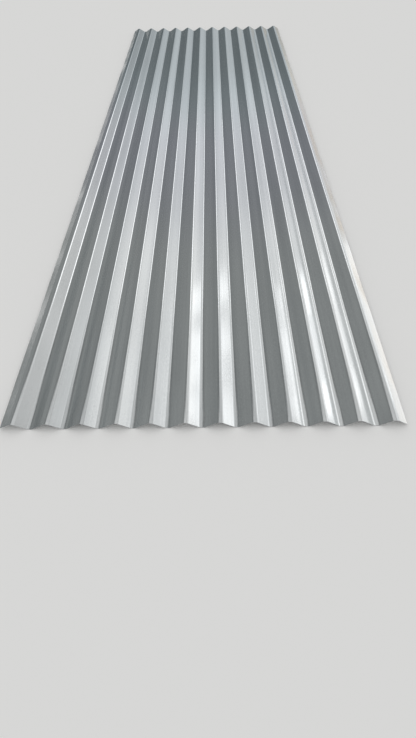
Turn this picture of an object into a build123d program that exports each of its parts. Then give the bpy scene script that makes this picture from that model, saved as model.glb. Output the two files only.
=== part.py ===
from build123d import *

import os
from math import acos, atan2, cos, hypot, sin

# Corrugated metal sheet: one strip of coated steel, roll-formed across its width into even round waves.
# It lies flat, weather face up, on the undersides of its troughs. X runs across the waves, Y along them and
# Z up. The origin is on the floor, under the middle of the sheet.

# Driving dimensions, in millimetres
sheet_length = 3048.0  # cut length, along the waves
pitch = 76.2  # from one crest top to the next
wave_depth = 18.0  # from trough bottom to crest top, on either face of the sheet
bend_radius = 15.0  # of the middle of the sheet's thickness, at every crest and trough
thickness = 0.5  # steel and coating together
lip_reach = 26.6  # level distance from the outermost crest top to the middle of the slit edge
crest_count = 12  # the sheet has one trough fewer, and ends in a falling lip on both sides


def flank_slope():
    """The angle above level of the straight flank that joins a crest's bend to a trough's, in radians."""
    rise, run = 2 * bend_radius - wave_depth, pitch / 2
    return atan2(run, rise) - acos(2 * bend_radius / hypot(rise, run))


slope = flank_slope()
# The flanks of a bend, carried on in line, meet at a corner this far beyond the bend.
corner_beyond_bend = bend_radius * (1 / cos(slope) - 1)
trough_height = thickness / 2
crest_height = trough_height + wave_depth
outer_crest_x = (crest_count - 1) * pitch / 2
# The lip leaves its corner along the flank, and ends where it has reached out far enough.
lip_along_flank = lip_reach / cos(slope)


def corner_points():
    """Where the flanks meet, from the left-hand crest to the right-hand one: crest, trough, crest and so on."""
    points = []
    for step in range(2 * crest_count - 1):
        is_crest = step % 2 == 0
        height = crest_height + corner_beyond_bend if is_crest else trough_height - corner_beyond_bend
        points.append(Vector(step * pitch / 2 - outer_crest_x, height))
    return points


def face_line(above_middle):
    """The outline of one face of the sheet, this far above the middle of its thickness: flanks and round bends."""
    corners = corner_points()
    lip = Vector(cos(slope), -sin(slope)) * lip_along_flank
    square_to_lip = Vector(sin(slope), cos(slope)) * above_middle
    right_end = corners[-1] + lip + square_to_lip
    left_end = Vector(-right_end.X, right_end.Y)
    lift = Vector(0, above_middle / cos(slope))
    radii = [
        bend_radius + above_middle if step % 2 == 0 else bend_radius - above_middle
        for step in range(len(corners))
    ]
    return FilletPolyline(left_end, *[corner + lift for corner in corners], right_end, radius=radii)


def rolled_sheet():
    """The wave section, swept straight along the sheet's length."""
    with BuildPart() as sheet:
        with BuildSketch(Plane.XZ):
            with BuildLine():
                weather_face = face_line(thickness / 2)
                under_face = face_line(-thickness / 2)
                Line(weather_face @ 0, under_face @ 0)
                Line(weather_face @ 1, under_face @ 1)
            make_face()
        extrude(amount=sheet_length / 2, both=True)
    return sheet.part


os.makedirs("parts", exist_ok=True)
export_step(rolled_sheet(), "parts/corrugated_sheet.step")
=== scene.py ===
import logging
from dataclasses import dataclass
from enum import Enum
from math import acos, atan2, cos, hypot, pi, radians, sin, tan
from typing import Callable

import bpy
from mathutils import Matrix, Vector

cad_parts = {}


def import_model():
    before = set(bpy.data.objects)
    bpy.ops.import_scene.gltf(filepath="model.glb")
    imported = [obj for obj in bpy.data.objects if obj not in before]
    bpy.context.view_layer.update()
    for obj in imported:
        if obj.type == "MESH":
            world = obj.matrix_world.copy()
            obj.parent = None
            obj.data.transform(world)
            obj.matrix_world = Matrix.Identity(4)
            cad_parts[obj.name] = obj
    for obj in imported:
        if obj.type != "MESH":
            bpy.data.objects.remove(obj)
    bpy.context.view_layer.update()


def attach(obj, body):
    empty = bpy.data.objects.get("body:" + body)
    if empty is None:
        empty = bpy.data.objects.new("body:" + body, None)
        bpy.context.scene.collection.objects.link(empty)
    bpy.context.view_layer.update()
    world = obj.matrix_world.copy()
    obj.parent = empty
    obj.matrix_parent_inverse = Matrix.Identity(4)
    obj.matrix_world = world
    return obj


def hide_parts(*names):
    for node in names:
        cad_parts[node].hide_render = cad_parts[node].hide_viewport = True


log = logging.getLogger("corrugated_sheet")

Triple = tuple[float, float, float]
Colour = Triple
Socket = bpy.types.NodeSocket
Fill = float | Triple | Socket
Fills = dict[str | int, Fill]


class Bend(Enum):
    """The two ways in which the rolls bend the strip."""

    CREST = 1
    TROUGH = -1


class Slot(Enum):
    """The material slots of the sheet's mesh, in their order."""

    COATING = 0
    CUT_EDGE = 1


class Mode(Enum):
    """The kind of element that an edit picks."""

    EDGES = "EDGE"
    POINTS = "VERT"


class Kind(Enum):
    """What an input or output of an effect carries."""

    VECTOR = "NodeSocketVector"
    NUMBER = "NodeSocketFloat"


class Sum(Enum):
    """The sums that a Math node works out."""

    ADD = "ADD"
    SUBTRACT = "SUBTRACT"
    MULTIPLY = "MULTIPLY"
    DIVIDE = "DIVIDE"
    LESSER = "MINIMUM"
    GREATER = "MAXIMUM"
    FRACTION = "FRACT"
    ABSOLUTE = "ABSOLUTE"
    ANGLE = "ARCTAN2"


class Mix(Enum):
    """What a share of the second colour does to the first."""

    REPLACE = "MIX"
    TINT = "MULTIPLY"


def leave_all_unpicked() -> None:
    """Goes to object mode with nothing selected, because the loaded frame comes in selected."""
    if bpy.context.mode != "OBJECT":
        bpy.ops.object.mode_set(mode="OBJECT")
    bpy.ops.object.select_all(action="DESELECT")


def unpick_mesh(mode: Mode) -> None:
    """Leaves the active piece in object mode, with nothing picked in its mesh.

    Args:
        mode: the kind of element that is picked next.
    """
    bpy.ops.object.mode_set(mode="EDIT")
    bpy.ops.mesh.select_mode(type=mode.value)
    bpy.ops.mesh.select_all(action="DESELECT")
    bpy.ops.object.mode_set(mode="OBJECT")


def pick_edges(piece: bpy.types.Object, wanted: Callable[[Vector, Vector], bool]) -> None:
    """Opens a piece for editing with the edges selected that pass a test.

    Args:
        piece: the mesh object.
        wanted: takes the two end points of an edge, and says whether it is selected.
    """
    unpick_mesh(Mode.EDGES)
    points = piece.data.vertices
    for edge in piece.data.edges:
        start, end = (points[corner].co for corner in edge.vertices)
        edge.select = wanted(start, end)
    bpy.ops.object.mode_set(mode="EDIT")


def pick_points(piece: bpy.types.Object, wanted: Callable[[Vector], bool]) -> None:
    """Opens a piece for editing with the points selected that pass a test.

    Args:
        piece: the mesh object.
        wanted: takes a point, and says whether it is selected.
    """
    unpick_mesh(Mode.POINTS)
    for point in piece.data.vertices:
        point.select = wanted(point.co)
    bpy.ops.object.mode_set(mode="EDIT")


def apply_modifier(piece: bpy.types.Object, modifier: bpy.types.Modifier) -> None:
    """Makes a modifier's result the piece's own mesh."""
    bpy.context.view_layer.objects.active = piece
    bpy.ops.object.modifier_apply(modifier=modifier.name)


@dataclass(frozen=True)
class Ramp:
    """A smooth change from one value to another over a span, held at both of its ends.

    The span's start may be the output of a node.
    """

    start: Fill
    end: float
    at_start: float = 0.0
    at_end: float = 1.0


class NodeBoard:
    """Lays shader nodes into one tree and joins them."""

    def __init__(self, tree: bpy.types.NodeTree) -> None:
        """Takes a tree and clears it."""
        self.tree = tree
        tree.nodes.clear()

    def place(self, kind: str, fills: Fills | None = None, **settings: object) -> bpy.types.Node:
        """Adds a node.

        Args:
            kind: the node's type name.
            fills: what goes into its inputs, by name or number: a constant, or the output of another node.
            settings: the node's own settings.

        Returns:
            The node.
        """
        node = self.tree.nodes.new(kind)
        for name, value in settings.items():
            setattr(node, name, value)
        for name, value in (fills or {}).items():
            self.fill(node.inputs[name], value)
        return node

    def fill(self, socket: Socket, value: Fill) -> None:
        """Joins another node's output to an input, or sets the input to a constant.

        Args:
            socket: the input.
            value: the output or the constant. A colour gets the full alpha that it lacks.
        """
        if isinstance(value, bpy.types.NodeSocket):
            self.tree.links.new(value, socket)
        elif isinstance(value, tuple) and len(value) < len(socket.default_value):
            socket.default_value = (*value, 1.0)
        else:
            socket.default_value = value

    def object_place(self) -> Socket:
        """Gives the place on the piece, in its Object coordinates."""
        return self.place("ShaderNodeTexCoord").outputs["Object"]

    def sum_up(self, operation: Sum, first: Fill, second: Fill = 0.0) -> Socket:
        """Works out a number from one or two others."""
        return self.place("ShaderNodeMath", {0: first, 1: second}, operation=operation.value).outputs[0]

    def weigh(self, *parts: tuple[Socket, float], base: float = 0.0) -> Fill:
        """Adds up numbers, each times its weight, and leaves out those that weigh nothing.

        Args:
            parts: the numbers and their weights.
            base: what the sum starts from.

        Returns:
            The sum.
        """
        total: Fill = base
        for value, weight in parts:
            if weight:
                fills = {0: value, 1: weight, 2: total}
                total = self.place("ShaderNodeMath", fills, operation="MULTIPLY_ADD").outputs[0]
        return total

    def ramp(self, value: Fill, ramp: Ramp) -> Socket:
        """Takes a number through a ramp.

        Args:
            value: the number.
            ramp: the ramp.

        Returns:
            The ramp's value there.
        """
        span = {"From Min": ramp.start, "From Max": ramp.end, "To Min": ramp.at_start, "To Max": ramp.at_end}
        node = self.place("ShaderNodeMapRange", {"Value": value, **span}, interpolation_type="SMOOTHSTEP")
        return node.outputs["Result"]

    def mix(self, share: Fill, first: Fill, second: Fill, way: Mix = Mix.REPLACE) -> Socket:
        """Mixes two colours.

        Args:
            share: how much of the second colour goes in.
            first: the first colour.
            second: the second colour.
            way: what the second colour does to the first.

        Returns:
            The mixed colour.
        """
        # A Mix node has its sockets for colours at these numbers.
        share_in, first_in, second_in, colour_out = 0, 6, 7, 2
        fills = {share_in: share, first_in: first, second_in: second}
        return self.place("ShaderNodeMix", fills, data_type="RGBA", blend_type=way.value).outputs[colour_out]

    def moved(self, vector: Fill, shift: Triple) -> Socket:
        """Moves a pattern's place."""
        return self.place("ShaderNodeVectorMath", {0: vector, 1: shift}, operation="ADD").outputs["Vector"]

    def stretched(self, vector: Fill, sizes: Fill) -> Socket:
        """Divides a vector by the sizes that one unit of a pattern has along each axis."""
        return self.place("ShaderNodeVectorMath", {0: vector, 1: sizes}, operation="DIVIDE").outputs["Vector"]

    def noise(self, vector: Fill, detail: float, roughness: float = 0.5) -> Socket:
        """Lays smooth noise with a feature size of about one unit of its vector."""
        fills = {"Vector": vector, "Scale": 1.0, "Detail": detail, "Roughness": roughness}
        return self.place("ShaderNodeTexNoise", fills).outputs["Fac"]

    def group(self, effect: bpy.types.NodeTree, fills: Fills) -> bpy.types.NodeOutputs:
        """Places a node group.

        Args:
            effect: the group.
            fills: what goes into its inputs.

        Returns:
            Its outputs.
        """
        node = self.place("ShaderNodeGroup", node_tree=effect)
        for name, value in fills.items():
            self.fill(node.inputs[name], value)
        return node.outputs


def new_material(name: str) -> tuple[bpy.types.Material, NodeBoard]:
    """Makes a material without nodes.

    Args:
        name: the material's name.

    Returns:
        The material and its board.
    """
    material = bpy.data.materials.new(name)
    material.use_nodes = True
    return material, NodeBoard(material.node_tree)


@dataclass(frozen=True)
class Effect:
    """An effect that is used more than once, kept as a node group of its own."""

    name: str
    inputs: tuple[tuple[str, Kind], ...]
    outputs: tuple[str, ...]

    def open(self) -> tuple[NodeBoard, bpy.types.NodeOutputs, bpy.types.NodeInputs]:
        """Makes the empty group.

        Returns:
            Its board, the sockets that bring its inputs in, and those that take its outputs out.
        """
        tree = bpy.data.node_groups.new(self.name, "ShaderNodeTree")
        board = NodeBoard(tree)
        for label, kind in self.inputs:
            tree.interface.new_socket(name=label, in_out="INPUT", socket_type=kind.value)
        for label in self.outputs:
            tree.interface.new_socket(name=label, in_out="OUTPUT", socket_type=Kind.NUMBER.value)
        return board, board.place("NodeGroupInput").outputs, board.place("NodeGroupOutput").inputs


def rolling_streaks() -> bpy.types.NodeTree:
    """Builds the fine lines that rolls draw along a strip.

    Returns:
        A group that takes a place and the streaks' width and length, and gives a Streak from 0 to 1.
    """
    contrast = Ramp(0.3, 0.7)
    inputs = (("Vector", Kind.VECTOR), ("Width", Kind.NUMBER), ("Length", Kind.NUMBER))
    board, taken, given = Effect("rolling_streaks", inputs, ("Streak",)).open()
    width, length = taken["Width"], taken["Length"]
    sizes = board.place("ShaderNodeCombineXYZ", {"X": width, "Y": length, "Z": width}).outputs["Vector"]
    streak = board.noise(board.stretched(taken["Vector"], sizes), detail=3.0, roughness=0.6)
    board.fill(given["Streak"], board.ramp(streak, contrast))
    return board.tree


def metal_grain() -> bpy.types.NodeTree:
    """Builds the crystals of a metal skin, each of its own shade.

    Returns:
        A group that takes a place and the crystals' size, and gives a Shade and a Boundary, from 0 to 1.
    """
    boundary = Ramp(0.0, 0.08, 1.0, 0.0)
    inputs = (("Vector", Kind.VECTOR), ("Size", Kind.NUMBER))
    board, taken, given = Effect("metal_grain", inputs, ("Shade", "Boundary")).open()
    scale = board.sum_up(Sum.DIVIDE, 1.0, taken["Size"])
    fills = {"Vector": taken["Vector"], "Scale": scale, "Randomness": 1.0}
    crystals = board.place("ShaderNodeTexVoronoi", fills, feature="F1")
    parts = board.place("ShaderNodeSeparateColor", {"Color": crystals.outputs["Color"]})
    board.fill(given["Shade"], parts.outputs[0])
    edges = board.place("ShaderNodeTexVoronoi", fills, feature="DISTANCE_TO_EDGE")
    board.fill(given["Boundary"], board.ramp(edges.outputs["Distance"], boundary))
    return board.tree


@dataclass(frozen=True)
class Hairlines:
    """Scratches that all run about the same way: how far they turn from the waves, and their sizes."""

    turn: float
    sizes: Triple
    edge: Ramp = Ramp(0.66, 0.72)

    def lay(self, board: NodeBoard, place: Socket) -> Socket:
        """Lays the scratches.

        Args:
            board: the effect's board.
            place: the place on the piece.

        Returns:
            A mask, 1 on the scratches.
        """
        fills = {"Vector": place, "Angle": self.turn}
        turned = board.place("ShaderNodeVectorRotate", fills, rotation_type="Z_AXIS").outputs["Vector"]
        return board.ramp(board.noise(board.stretched(turned, self.sizes), detail=1.0), self.edge)


def handling_marks() -> bpy.types.NodeTree:
    """Builds sparse hairline scratches from stacking and carrying.

    Returns:
        A group that takes a place and the Spread, which is how much of the surface is touched, and gives a
        Mark from 0 to 1.
    """
    patch_sizes = (0.14, 0.22, 0.14)
    along = Hairlines(radians(8), (0.0022, 0.16, 0.02))
    across = Hairlines(radians(-21), (0.0018, 0.09, 0.02))
    inputs = (("Vector", Kind.VECTOR), ("Spread", Kind.NUMBER))
    board, taken, given = Effect("handling_marks", inputs, ("Mark",)).open()
    place = taken["Vector"]
    scratches = board.sum_up(Sum.GREATER, along.lay(board, place), across.lay(board, place))
    patches = board.noise(board.stretched(place, patch_sizes), detail=2.0)
    touched = board.ramp(patches, Ramp(board.sum_up(Sum.SUBTRACT, 1.0, taken["Spread"]), 1.0))
    board.fill(given["Mark"], board.sum_up(Sum.MULTIPLY, scratches, touched))
    return board.tree


@dataclass(frozen=True)
class Effects:
    """The effects that the finishes are made with."""

    streaks: bpy.types.NodeTree
    grain: bpy.types.NodeTree
    marks: bpy.types.NodeTree


@dataclass(frozen=True)
class Pattern:
    """One pattern of a finish, and what it adds to the shade, the roughness and the relief where it is 1."""

    mask: Socket
    shade: float = 0.0
    roughness: float = 0.0
    relief: float = 0.0


@dataclass(frozen=True)
class Metal:
    """A metal's two shades, and its smoothness and relief before its patterns are added."""

    bright: Colour
    dull: Colour
    roughness: float
    bump_strength: float
    bump_height: float
    shade: float = 0.0
    shades: Ramp = Ramp(0.0, 1.0)

    def colour(self, board: NodeBoard, patterns: list[Pattern]) -> Socket:
        """Mixes the two shades by the patterns."""
        shade = board.weigh(*((pattern.mask, pattern.shade) for pattern in patterns), base=self.shade)
        return board.mix(board.ramp(shade, self.shades), self.dull, self.bright)

    def finish(self, board: NodeBoard, colour: Socket, patterns: list[Pattern]) -> None:
        """Adds the shader and the output.

        Args:
            board: the material's board.
            colour: the metal's colour.
            patterns: what changes its roughness and its relief.
        """
        rough = board.weigh(*((pattern.mask, pattern.roughness) for pattern in patterns), base=self.roughness)
        height = board.weigh(*((pattern.mask, pattern.relief) for pattern in patterns))
        relief = {"Strength": self.bump_strength, "Distance": self.bump_height, "Height": height}
        normal = board.place("ShaderNodeBump", relief).outputs["Normal"]
        look = {"Base Color": colour, "Roughness": rough, "Metallic": 1.0, "Normal": normal}
        shader = board.place("ShaderNodeBsdfPrincipled", look)
        board.place("ShaderNodeOutputMaterial", {"Surface": shader.outputs["BSDF"]})


@dataclass(frozen=True)
class CoatedSteel:
    """The bright zinc and aluminium coating of both faces, as the rolls leave it.

    Lengths are in metres. The roll lines' place is a share of the pitch.
    """

    pitch: float
    metal: Metal = Metal(
        bright=(0.925, 0.94, 0.945),
        dull=(0.775, 0.795, 0.805),
        roughness=0.1,
        bump_strength=0.2,
        bump_height=0.00002,
        shade=-0.31,
    )
    grain_size: float = 0.0026
    fine_width: float = 0.0007
    fine_length: float = 0.25
    broad_width: float = 0.006
    broad_length: float = 1.1
    marked_share: float = 0.45
    drift_sizes: Triple = (0.35, 0.6, 0.35)
    # Painted shade: each flank gets its own lighter or darker tone, which paints the differences in mirrored
    # light that flanks of slightly different tilt show.
    painted_flank_shade_sizes: Triple = (0.045, 8.0, 1.0)
    painted_flank_shade_shift: Triple = (1.593, 0.0, 0.0)
    painted_flank_shade_contrast: Ramp = Ramp(0.35, 0.65)
    roll_line_from_trough: float = 0.115
    roll_line_width: float = 0.0011
    # Painted highlight: the roll lines' colour is lifted towards the bright shade so that they show as thin
    # bright lines. Their relief and roughness are the real marks.
    roll_line_painted_highlight: float = 0.12

    def roll_lines(self, board: NodeBoard, place: Socket) -> Socket:
        """Draws the thin lines that the edges of the rolls leave beside every trough.

        Args:
            board: the material's board.
            place: the place on the piece.

        Returns:
            A mask, 1 on the lines.
        """
        half_wave = 0.5
        across = board.place("ShaderNodeSeparateXYZ", {"Vector": place}).outputs["X"]
        waves = board.sum_up(Sum.ADD, board.sum_up(Sum.DIVIDE, across, self.pitch), half_wave)
        from_middle = board.sum_up(Sum.SUBTRACT, board.sum_up(Sum.FRACTION, waves), half_wave)
        from_trough = board.sum_up(Sum.ABSOLUTE, from_middle)
        past_line = board.sum_up(Sum.SUBTRACT, from_trough, self.roll_line_from_trough)
        edge = Ramp(0.0, self.roll_line_width / self.pitch, 1.0, 0.0)
        return board.ramp(board.sum_up(Sum.ABSOLUTE, past_line), edge)

    def patterns(self, board: NodeBoard, place: Socket, effects: Effects, lines: Socket) -> list[Pattern]:
        """Lays the coating's patterns.

        Args:
            board: the material's board.
            place: the place on the piece.
            effects: the effects that it uses.
            lines: the mask of the roll lines.

        Returns:
            The patterns.
        """
        fine_fills = {"Vector": place, "Width": self.fine_width, "Length": self.fine_length}
        fine = board.group(effects.streaks, fine_fills)["Streak"]
        broad_fills = {"Vector": place, "Width": self.broad_width, "Length": self.broad_length}
        broad = board.group(effects.streaks, broad_fills)["Streak"]
        grain = board.group(effects.grain, {"Vector": place, "Size": self.grain_size})
        marks = board.group(effects.marks, {"Vector": place, "Spread": self.marked_share})["Mark"]
        drift = board.noise(board.stretched(place, self.drift_sizes), detail=2.0)
        painted_flank_shades = board.noise(board.stretched(board.moved(place, self.painted_flank_shade_shift), self.painted_flank_shade_sizes), detail=1.0)
        return [
            Pattern(fine, roughness=0.03, relief=0.3),
            Pattern(grain["Shade"], shade=0.34, roughness=0.03),
            Pattern(grain["Boundary"], relief=-0.2),
            Pattern(marks, roughness=0.12, relief=-0.3),
            Pattern(lines, roughness=-0.02, relief=0.2),
            Pattern(drift, shade=0.4),
            Pattern(broad, shade=0.25),
            # Painted shade from flank to flank, standing in for differences in mirrored light.
            Pattern(board.ramp(painted_flank_shades, self.painted_flank_shade_contrast), shade=0.7),
        ]

    def make(self, effects: Effects) -> bpy.types.Material:
        """Builds the material.

        Args:
            effects: the effects that it uses.

        Returns:
            The material.
        """
        material, board = new_material("coated_steel")
        place = board.object_place()
        lines = self.roll_lines(board, place)
        patterns = self.patterns(board, place, effects, lines)
        colour = self.metal.colour(board, patterns)
        # Painted highlight along the roll lines.
        painted_line_highlight = board.sum_up(Sum.MULTIPLY, lines, self.roll_line_painted_highlight)
        self.metal.finish(board, board.mix(painted_line_highlight, colour, self.metal.bright), patterns)
        return material


@dataclass(frozen=True)
class CutSteel:
    """The bare, sheared edge of the steel between its two coated faces. Sizes are in metres."""

    metal: Metal = Metal(
        bright=(0.62, 0.63, 0.63),
        dull=(0.34, 0.34, 0.345),
        roughness=0.38,
        bump_strength=0.4,
        bump_height=0.00008,
        shades=Ramp(0.25, 0.75),
    )
    shear_sizes: Triple = (0.0004, 0.0004, 0.003)
    grain_size: float = 0.0016
    marked_share: float = 0.6

    def make(self, effects: Effects) -> bpy.types.Material:
        """Builds the material.

        Args:
            effects: the effects that it uses.

        Returns:
            The material.
        """
        material, board = new_material("cut_steel")
        place = board.object_place()
        shear = board.noise(board.stretched(place, self.shear_sizes), detail=2.0)
        grain = board.group(effects.grain, {"Vector": place, "Size": self.grain_size})["Shade"]
        marks = board.group(effects.marks, {"Vector": place, "Spread": self.marked_share})["Mark"]
        patterns = [
            Pattern(shear, shade=0.7, roughness=0.2, relief=1.0),
            Pattern(grain, shade=0.3),
            Pattern(marks, roughness=-0.1),
        ]
        self.metal.finish(board, self.metal.colour(board, patterns), patterns)
        return material


@dataclass(frozen=True)
class Swell:
    """A soft, long unevenness of thin steel, in metres.

    Attributes:
        name: its name.
        rise: how far it goes up and down in all.
        width: how wide one swell is, across the sheet.
        stretch: how many times as long it is, along the sheet.
        sunk_share: the share of the rise that stays below the steel's own place.
        group: the points that it moves, or none for all of them.
    """

    name: str
    rise: float
    width: float
    stretch: float
    sunk_share: float
    group: str = ""

    def raise_in(self, piece: bpy.types.Object) -> None:
        """Moves a piece's points up and down.

        Args:
            piece: the sheet.
        """
        cloud = bpy.data.textures.new(self.name, "CLOUDS")
        cloud.noise_scale = self.width
        cloud.noise_depth = 1
        guide = bpy.data.objects.new(self.name, None)
        bpy.context.scene.collection.objects.link(guide)
        guide.scale = (1, self.stretch, 1)
        bpy.context.view_layer.update()
        displace = piece.modifiers.new(self.name, "DISPLACE")
        displace.texture = cloud
        displace.texture_coords = "OBJECT"
        displace.texture_coords_object = guide
        displace.direction = "Z"
        displace.mid_level = self.sunk_share
        displace.strength = self.rise
        displace.vertex_group = self.group
        apply_modifier(piece, displace)
        bpy.data.objects.remove(guide)


@dataclass(frozen=True)
class CorrugatedSheet:
    """One roll-formed sheet, modelled as the middle of its thickness and then given its wall.

    Lengths are in metres. The narrow margins beside the bends keep the flanks' shading flat.
    """

    length: float = 3.048
    pitch: float = 0.0762
    wave_depth: float = 0.018
    bend_radius: float = 0.015
    thickness: float = 0.0005
    lip_reach: float = 0.0266
    crest_count: int = 12
    bend_steps: int = 8
    bend_margin: float = 0.0006
    row_count: int = 76
    end_band: float = 0.014
    end_opening: float = 0.965
    smooth_angle: float = radians(30)
    canning: Swell = Swell("canning", rise=0.0006, width=0.09, stretch=4.0, sunk_share=0.13)
    lip_wave: Swell = Swell(
        "lip_wave", rise=0.003, width=0.035, stretch=3.2, sunk_share=0.3, group="slit_edges"
    )

    @property
    def slope(self) -> float:
        """The angle of a flank above level, at which it runs tangent into both of its bends."""
        rise, run = 2 * self.bend_radius - self.wave_depth, self.pitch / 2
        return atan2(run, rise) - acos(2 * self.bend_radius / hypot(rise, run))

    @property
    def crest_height(self) -> float:
        """The height of the middle of the steel at a crest top."""
        return self.wave_depth + self.thickness / 2

    @property
    def outer_crest(self) -> float:
        """How far the outermost crest tops are from the middle of the sheet."""
        return (self.crest_count - 1) * self.pitch / 2

    @property
    def flank_length(self) -> float:
        """The length of the straight part of a flank, from a crest's bend to a trough's."""
        return (self.wave_depth - 2 * self.bend_radius * (1 - cos(self.slope))) / sin(self.slope)

    @property
    def lip_length(self) -> float:
        """The length of the straight part of a lip, from the outermost crest's bend to the slit edge."""
        return (self.lip_reach - self.bend_radius * sin(self.slope)) / cos(self.slope)

    def first_lip(self) -> bpy.types.Object:
        """Lays the flat strip from the left-hand slit edge to the start of the first crest's bend.

        Returns:
            The strip, open for editing, with its inner edge selected.
        """
        leave_all_unpicked()
        bpy.ops.mesh.primitive_plane_add(size=1, location=(0, 0, 0))
        piece = bpy.context.object
        piece.name = piece.data.name = "rolled_sheet"
        inner = Vector((
            -self.outer_crest - self.bend_radius * sin(self.slope),
            0,
            self.crest_height - self.bend_radius * (1 - cos(self.slope)),
        ))
        inner -= Vector((cos(self.slope), 0, sin(self.slope))) * self.bend_margin
        reach = self.outer_crest + self.lip_reach + inner.x
        drop = reach * tan(self.slope)
        bpy.ops.object.mode_set(mode="EDIT")
        bpy.ops.mesh.select_all(action="SELECT")
        bpy.ops.transform.resize(value=(reach, self.length, 1))
        bpy.ops.transform.translate(value=(inner.x - reach / 2, 0, inner.z - drop))
        bpy.ops.object.mode_set(mode="OBJECT")
        pick_edges(piece, lambda start, end: min(start.x, end.x) > inner.x - reach / 2)
        bpy.ops.transform.translate(value=(0, 0, drop))
        margin = (self.bend_margin * cos(self.slope), 0, self.bend_margin * sin(self.slope))
        bpy.ops.mesh.extrude_region_move(TRANSFORM_OT_translate={"value": margin})
        return piece

    def roll_bend(self, way: Bend, middle: float) -> None:
        """Turns the selected edge round one bend.

        Args:
            way: over a crest or through a trough.
            middle: where the bend's middle is, across the sheet.
        """
        over_crest = self.crest_height - self.bend_radius
        through_trough = self.thickness / 2 + self.bend_radius
        bpy.ops.mesh.spin(
            steps=self.bend_steps,
            angle=-2 * self.slope * way.value,
            center=(middle, 0, over_crest if way is Bend.CREST else through_trough),
            axis=(0, 1, 0),
        )

    def roll_flank(self, way: Bend, length: float) -> None:
        """Carries the selected edge on along a straight flank, with a narrow margin beside each bend.

        Args:
            way: down from a crest or up from a trough.
            length: the flank's length.
        """
        for part in (self.bend_margin, length - 2 * self.bend_margin, self.bend_margin):
            step = (part * cos(self.slope), 0, -part * sin(self.slope) * way.value)
            bpy.ops.mesh.extrude_region_move(TRANSFORM_OT_translate={"value": step})

    def roll_waves(self) -> None:
        """Rolls every bend and flank in turn, and ends with the right-hand lip."""
        last = 2 * self.crest_count - 2
        for step in range(last + 1):
            way = Bend.CREST if step % 2 == 0 else Bend.TROUGH
            self.roll_bend(way, step * self.pitch / 2 - self.outer_crest)
            self.roll_flank(way, self.lip_length if step == last else self.flank_length)

    def cut_rows(self, piece: bpy.types.Object) -> None:
        """Divides the long strips into rows, with a narrow one at each end of the sheet.

        Args:
            piece: the sheet.
        """
        pick_edges(piece, lambda start, end: abs(start.y - end.y) > self.length / 2)
        bpy.ops.mesh.subdivide(number_cuts=self.row_count - 1)
        at_band = self.length / 2 - self.end_band
        for cut in (at_band, -at_band):
            bpy.ops.mesh.select_all(action="SELECT")
            bpy.ops.mesh.bisect(plane_co=(0, cut, 0), plane_no=(0, 1, 0))

    def open_ends(self, piece: bpy.types.Object) -> None:
        """Lets the waves spring a little flatter at the two cut ends.

        Args:
            piece: the sheet.
        """
        near_end = self.length / 2 - self.end_band / 2
        pick_points(piece, lambda point: abs(point.y) > near_end)
        middle = (0, 0, self.crest_height / 2)
        bpy.ops.transform.resize(value=(1, 1, self.end_opening), center_override=middle)

    def gather_lips(self, piece: bpy.types.Object) -> None:
        """Puts the points of the two slit edges into a group of their own.

        Args:
            piece: the sheet.
        """
        near_edge = self.outer_crest + self.lip_reach * 3 / 4
        pick_points(piece, lambda point: abs(point.x) > near_edge)
        bpy.ops.object.vertex_group_add()
        piece.vertex_groups.active.name = self.lip_wave.group
        bpy.ops.object.vertex_group_assign()
        bpy.ops.object.mode_set(mode="OBJECT")

    def thicken(self, piece: bpy.types.Object) -> None:
        """Gives the steel its wall, half on either side, with its cut edges in their own finish.

        Args:
            piece: the sheet.
        """
        bpy.ops.object.mode_set(mode="OBJECT")
        wall = piece.modifiers.new("wall", "SOLIDIFY")
        wall.thickness = self.thickness
        wall.offset = 0
        wall.use_even_offset = True
        wall.material_offset_rim = Slot.CUT_EDGE.value
        apply_modifier(piece, wall)
        bpy.ops.object.mode_set(mode="EDIT")
        bpy.ops.mesh.select_all(action="SELECT")
        bpy.ops.mesh.normals_make_consistent(inside=False)
        bpy.ops.object.mode_set(mode="OBJECT")
        bpy.ops.object.shade_smooth_by_angle(angle=self.smooth_angle)

    def dress(self, piece: bpy.types.Object, effects: Effects) -> None:
        """Gives the sheet its finishes, in the order of its slots.

        Args:
            piece: the sheet.
            effects: the effects that it uses.
        """
        finishes = {Slot.COATING: CoatedSteel(self.pitch), Slot.CUT_EDGE: CutSteel()}
        for slot in Slot:
            piece.data.materials.append(finishes[slot].make(effects))

    def build(self, effects: Effects) -> bpy.types.Object:
        """Builds and dresses the sheet.

        Args:
            effects: the effects that it uses.

        Returns:
            The finished piece.
        """
        piece = self.first_lip()
        self.roll_waves()
        self.cut_rows(piece)
        self.open_ends(piece)
        self.gather_lips(piece)
        self.canning.raise_in(piece)
        self.lip_wave.raise_in(piece)
        piece.vertex_groups.clear()
        self.dress(piece, effects)
        self.thicken(piece)
        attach(piece, "root")
        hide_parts("corrugated_sheet")
        return piece


@dataclass(frozen=True)
class Lamp:
    """A soft rectangular lamp, which only the metal mirrors. Sizes are in metres."""

    name: str
    place: Vector
    aim: Vector
    width: float
    height: float
    radiance: float

    def hang(self) -> bpy.types.Object:
        """Hangs the lamp.

        Returns:
            The lamp's object.
        """
        light = bpy.data.lights.new(self.name, "AREA")
        light.shape = "RECTANGLE"
        light.size, light.size_y = self.width, self.height
        light.energy = self.radiance * pi * self.width * self.height
        lamp = bpy.data.objects.new(self.name, light)
        bpy.context.scene.collection.objects.link(lamp)
        lamp.location = self.place
        lamp.rotation_euler = (self.aim - self.place).to_track_quat("-Z", "Y").to_euler()
        lamp.visible_camera = lamp.visible_diffuse = False
        return lamp


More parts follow.
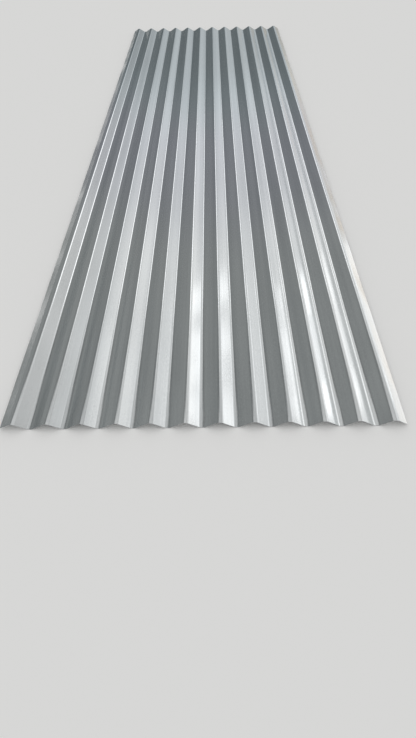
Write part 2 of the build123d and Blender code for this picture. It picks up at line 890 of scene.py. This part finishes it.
@dataclass(frozen=True)
class Pane:
    """A soft pane far off on the right, by the angles that it spans as seen from the sheet, in degrees.

    Left and right are turned from straight ahead, and low and high are above level.
    """

    left: float
    right: float
    low: float
    high: float
    radiance: float

    def hang(self, name: str, seen_from: Vector, distance: float) -> bpy.types.Object:
        """Hangs the pane.

        Args:
            name: the lamp's name.
            seen_from: the place on the sheet that the angles are measured from.
            distance: how far off the pane is.

        Returns:
            The lamp's object.
        """
        turn, rise = radians((self.left + self.right) / 2), radians((self.low + self.high) / 2)
        way = Vector((sin(turn) * cos(rise), cos(turn) * cos(rise), sin(rise)))
        width, height = distance * radians(self.right - self.left), distance * radians(self.high - self.low)
        return Lamp(name, seen_from + way * distance, seen_from, width, height, self.radiance).hang()


@dataclass(frozen=True)
class Tones:
    """The glow of one side of the dome, from its near part to its far one, and where they blend."""

    near: Colour
    middle: Colour
    far: Colour
    to_middle: Ramp = Ramp(0.79, 0.915)
    to_far: Ramp = Ramp(0.915, 0.945)

    def spread_out(self, board: NodeBoard, ahead: Socket) -> Socket:
        """Blends the three tones one into the next, by how far ahead a place on the dome is."""
        colour = board.mix(board.ramp(ahead, self.to_middle), self.near, self.middle)
        return board.mix(board.ramp(ahead, self.to_far), colour, self.far)


@dataclass(frozen=True)
class MirroredRoom:
    """The wide dome that only the metal mirrors: soft light, with a grey side and dimmer parts.

    A place on the dome is given by a unit vector towards it: X to the right, Y ahead and Z up. The grey side
    is on the left, and reaches past the middle by an amount that changes with Y. The dimmer parts are the far
    end, all that is above the brow, the ceiling round a way that tilts back from straight up, and an eave
    along the right, between two angles about Y. The light side is tinted where it is low.
    """

    radius: float = 30.0
    segments: int = 48
    rings: int = 24
    light: Tones = Tones((0.7545, 0.7655, 0.764), (0.608, 0.62, 0.655), (0.593, 0.646, 0.671))
    grey: Tones = Tones((0.23, 0.2416, 0.2398), (0.1995, 0.207, 0.227), (0.178, 0.206, 0.216))
    grey_reach_near: Ramp = Ramp(0.64, 0.74, 0.06, 0.18)
    grey_reach_far: Ramp = Ramp(0.74, 1.0, 0.18, 0.03)
    grey_edge: Ramp = Ramp(-0.003, 0.003, 1.0, 0.0)
    grey_top: Ramp = Ramp(sin(radians(54)) - 0.01, sin(radians(54)) + 0.01, 1.0, 0.0)
    low_tint: Colour = (0.92, 0.8, 0.67)
    low_part: Ramp = Ramp(0.035, 0.06, 1.0, 0.0)
    far_end: Ramp = Ramp(0.938, 0.963, 1.0, 0.74)
    brow: Ramp = Ramp(0.64, 0.78, 1.0, 0.72)
    eave_foot: Ramp = Ramp(radians(47.5), radians(54), 1.0, 0.66)
    eave_head: Ramp = Ramp(radians(58), radians(63))
    ceiling_tilt: float = radians(25)
    ceiling: Ramp = Ramp(0.7, 0.9, 1.0, 0.6)
    patch_sizes: Triple = (0.16, 0.16, 0.034)
    patches: Ramp = Ramp(0.3, 0.7, 0.91, 1.09)

    def colour(self, board: NodeBoard, right: Socket, ahead: Socket, up: Socket) -> Socket:
        """Lays out the two sides.

        Args:
            board: the material's board.
            right: how far to the right a place on the dome is.
            ahead: how far ahead it is.
            up: how far up it is.

        Returns:
            The colour of the glow.
        """
        near_reach = board.ramp(ahead, self.grey_reach_near)
        far_reach = board.ramp(ahead, self.grey_reach_far)
        past_edge = board.sum_up(Sum.SUBTRACT, right, board.sum_up(Sum.LESSER, far_reach, near_reach))
        on_left, below_top = board.ramp(past_edge, self.grey_edge), board.ramp(up, self.grey_top)
        light = self.light.spread_out(board, ahead)
        light = board.mix(board.ramp(up, self.low_part), light, self.low_tint, Mix.TINT)
        grey = self.grey.spread_out(board, ahead)
        return board.mix(board.sum_up(Sum.MULTIPLY, on_left, below_top), light, grey)

    def strength(self, board: NodeBoard, way: Socket, right: Socket, ahead: Socket, up: Socket) -> Socket:
        """Lays out the dimmer parts.

        Args:
            board: the material's board.
            way: the unit vector towards a place on the dome.
            right: how far to the right that is.
            ahead: how far ahead it is.
            up: how far up it is.

        Returns:
            The strength of the glow.
        """
        ceiling_way = (0.0, -sin(self.ceiling_tilt), cos(self.ceiling_tilt))
        overhead = board.place("ShaderNodeVectorMath", {0: way, 1: ceiling_way}, operation="DOT_PRODUCT")
        turn = board.sum_up(Sum.ANGLE, up, right)
        eave_foot, eave_head = board.ramp(turn, self.eave_foot), board.ramp(turn, self.eave_head)
        eave = board.sum_up(Sum.GREATER, eave_foot, eave_head)
        patches = board.noise(board.stretched(way, self.patch_sizes), detail=1.0)
        uneven = board.ramp(patches, self.patches)
        far_end, brow = board.ramp(ahead, self.far_end), board.ramp(up, self.brow)
        strength = board.ramp(overhead.outputs["Value"], self.ceiling)
        for share in (eave, uneven, far_end, brow):
            strength = board.sum_up(Sum.MULTIPLY, strength, share)
        return strength

    def paint(self) -> bpy.types.Material:
        """Builds the dome's glow.

        Returns:
            The material.
        """
        material, board = new_material("mirrored_room")
        place = board.object_place()
        way = board.place("ShaderNodeVectorMath", {0: place}, operation="NORMALIZE").outputs["Vector"]
        parts = board.place("ShaderNodeSeparateXYZ", {"Vector": way}).outputs
        right, ahead, up = parts["X"], parts["Y"], parts["Z"]
        colour = self.colour(board, right, ahead, up)
        strength = self.strength(board, way, right, ahead, up)
        glow = board.place("ShaderNodeEmission", {"Color": colour, "Strength": strength})
        board.place("ShaderNodeOutputMaterial", {"Surface": glow.outputs["Emission"]})
        return material

    def raise_dome(self) -> bpy.types.Object:
        """Raises the dome.

        Returns:
            The dome's object.
        """
        leave_all_unpicked()
        bpy.ops.mesh.primitive_uv_sphere_add(
            segments=self.segments, ring_count=self.rings, radius=self.radius, location=(0, 0, 0)
        )
        dome = bpy.context.object
        dome.name = "mirrored_room"
        dome.data.materials.append(self.paint())
        dome.visible_camera = dome.visible_diffuse = dome.visible_shadow = False
        return dome


@dataclass(frozen=True)
class Studio:
    """The pale floor, the soft light and the lamps. Lengths are in metres."""

    floor_size: float = 80.0
    floor_colour: Colour = (0.87, 0.87, 0.86)
    floor_roughness: float = 0.9
    soft_light: Colour = (0.78, 0.78, 0.78)
    strip: Lamp = Lamp("overhead_strip", Vector((1.85, 9.4, 5.0)), Vector((1.85, 9.4, 0)), 1.8, 8.8, 0.54)
    pane_distance: float = 24.0
    panes_seen_from: Vector = Vector((0.1, -1.2, 0.0))
    panes: tuple[Pane, ...] = (
        Pane(33.8, 36.8, 15.0, 20.3, 0.63),
        Pane(39.0, 42.7, 17.4, 22.0, 0.6),
        Pane(42.7, 45.9, 19.3, 23.5, 0.54),
        Pane(46.9, 52.0, 19.6, 25.0, 0.54),
        Pane(37.8, 42.2, 6.3, 10.2, 0.75),
        Pane(43.0, 50.0, 8.0, 12.6, 0.45),
        Pane(50.5, 54.5, 7.0, 12.6, 0.85),
        Pane(36.0, 58.0, 1.0, 6.2, 0.17),
        Pane(36.0, 58.0, 2.0, 3.8, 0.3),
    )

    def lay_floor(self) -> bpy.types.Object:
        """Lays the plain pale floor that the sheet lies on.

        Returns:
            The floor.
        """
        leave_all_unpicked()
        bpy.ops.mesh.primitive_plane_add(size=self.floor_size, location=(0, 0, 0))
        floor = bpy.context.object
        floor.name = "floor"
        material, board = new_material("floor_paint")
        look = {"Base Color": self.floor_colour, "Roughness": self.floor_roughness, "Specular IOR Level": 0.0}
        shader = board.place("ShaderNodeBsdfPrincipled", look)
        board.place("ShaderNodeOutputMaterial", {"Surface": shader.outputs["BSDF"]})
        floor.data.materials.append(material)
        return floor

    def light_world(self) -> None:
        """Fills the backdrop with plain soft light."""
        world = bpy.data.worlds.new("soft_light")
        bpy.context.scene.world = world
        world.use_nodes = True
        board = NodeBoard(world.node_tree)
        background = board.place("ShaderNodeBackground", {"Color": self.soft_light, "Strength": 1.0})
        board.place("ShaderNodeOutputWorld", {"Surface": background.outputs["Background"]})

    def hang_lamps(self) -> list[bpy.types.Object]:
        """Hangs the lamps that the metal mirrors.

        The strip is high up beyond the far end, and the bends mirror it as thin bright lines. The panes are
        far off on the right, in two rows, and single flanks mirror them as long highlights.

        Returns:
            The lamps.
        """
        lamps = [self.strip.hang()]
        for number, pane in enumerate(self.panes):
            lamps.append(pane.hang(f"pane_{number}", self.panes_seen_from, self.pane_distance))
        return lamps


@dataclass(frozen=True)
class Camera:
    """The camera, over the near end of the sheet.

    Its place is in metres, and its sensor and lens are in millimetres.
    """

    place: Vector = Vector((0.0299, -2.1748, 0.9037))
    right: Vector = Vector((0.99981, 0.0003, -0.01942))
    up: Vector = Vector((0.01287, 0.73851, 0.67412))
    sensor: float = 36.0
    lens: float = 24.586
    farthest: float = 200.0

    def set_up(self) -> bpy.types.Object:
        """Stands the camera in its place.

        Returns:
            The camera's object.
        """
        camera = bpy.data.cameras.new("camera")
        camera.sensor_width = self.sensor
        camera.lens = self.lens
        camera.clip_end = self.farthest
        stand = bpy.data.objects.new("camera", camera)
        bpy.context.scene.collection.objects.link(stand)
        turn = Matrix((self.right, self.up, self.right.cross(self.up))).transposed()
        stand.matrix_world = Matrix.Translation(self.place) @ turn.to_4x4()
        bpy.context.scene.camera = stand
        return stand


def main() -> None:
    """Builds the sheet and its studio."""
    logging.basicConfig(level=logging.INFO, format="%(message)s")
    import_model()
    bpy.context.scene.view_settings.view_transform = "Standard"

    effects = Effects(rolling_streaks(), metal_grain(), handling_marks())
    piece = CorrugatedSheet().build(effects)
    triangles = sum(len(face.vertices) - 2 for face in piece.data.polygons)
    log.info("%s: %d triangles", piece.name, triangles)

    studio = Studio()
    stage = [studio.lay_floor(), MirroredRoom().raise_dome(), *studio.hang_lamps(), Camera().set_up()]
    for part in stage:
        log.info("%s: in place", part.name)
    studio.light_world()


if __name__ == "__main__":
    main()
